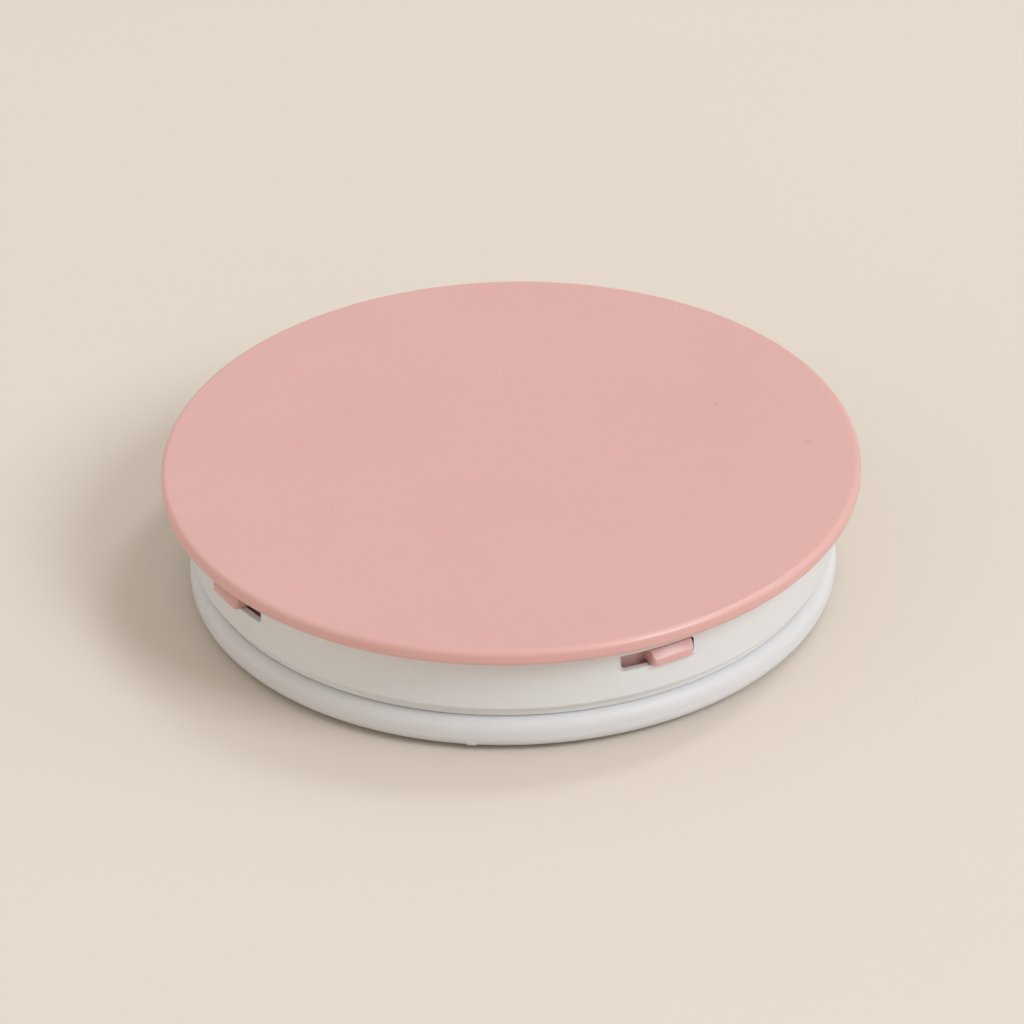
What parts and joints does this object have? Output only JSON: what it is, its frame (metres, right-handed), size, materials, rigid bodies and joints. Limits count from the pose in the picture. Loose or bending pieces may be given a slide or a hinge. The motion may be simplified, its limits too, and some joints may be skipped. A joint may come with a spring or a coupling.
{
  "type": "collapsible phone grip",
  "caption": "Collapsible phone grip: a thin round disc snapped onto a short cup, over a folding soft bellows in a round adhesive base.",
  "frame": {"origin": "centre of the adhesive face, on the axis of the disc", "axes": "+Z out of the phone along the axis of the disc; the grip's hooks and windows are mirrored about a plane 16.4 degrees off -Y"},
  "size_m": [0.04, 0.04, 0.0077],
  "materials": {
    "foam_tape": "pale grey acrylic foam tape, tacky and matte",
    "white_base": "cool white moulded plastic, satin",
    "soft_white": "milky soft plastic, satin",
    "white_cup": "warm white moulded plastic, satin",
    "pink_cap": "dusty pink moulded plastic, fine matte face and satin edge"
  },
  "bodies": {
    "base": {"adhesive_pad": "foam_tape", "base_plate": "white_base", "base_shell": "white_base"},
    "bellows": {"accordion": "soft_white"},
    "top": {"carrier": "white_cup", "top_cap": "pink_cap"}
  },
  "joints": [
    {"name": "spin", "type": "hinge", "parent": "base", "child": "bellows", "pos_m": [0, 0, 0], "axis": [0, 0, 1], "continuous": true},
    {"name": "pop_out", "type": "slide", "parent": "bellows", "child": "top", "axis": [0, 0, 1], "range_m": [0, 0.014], "deforming": ["accordion"]}
  ]
}
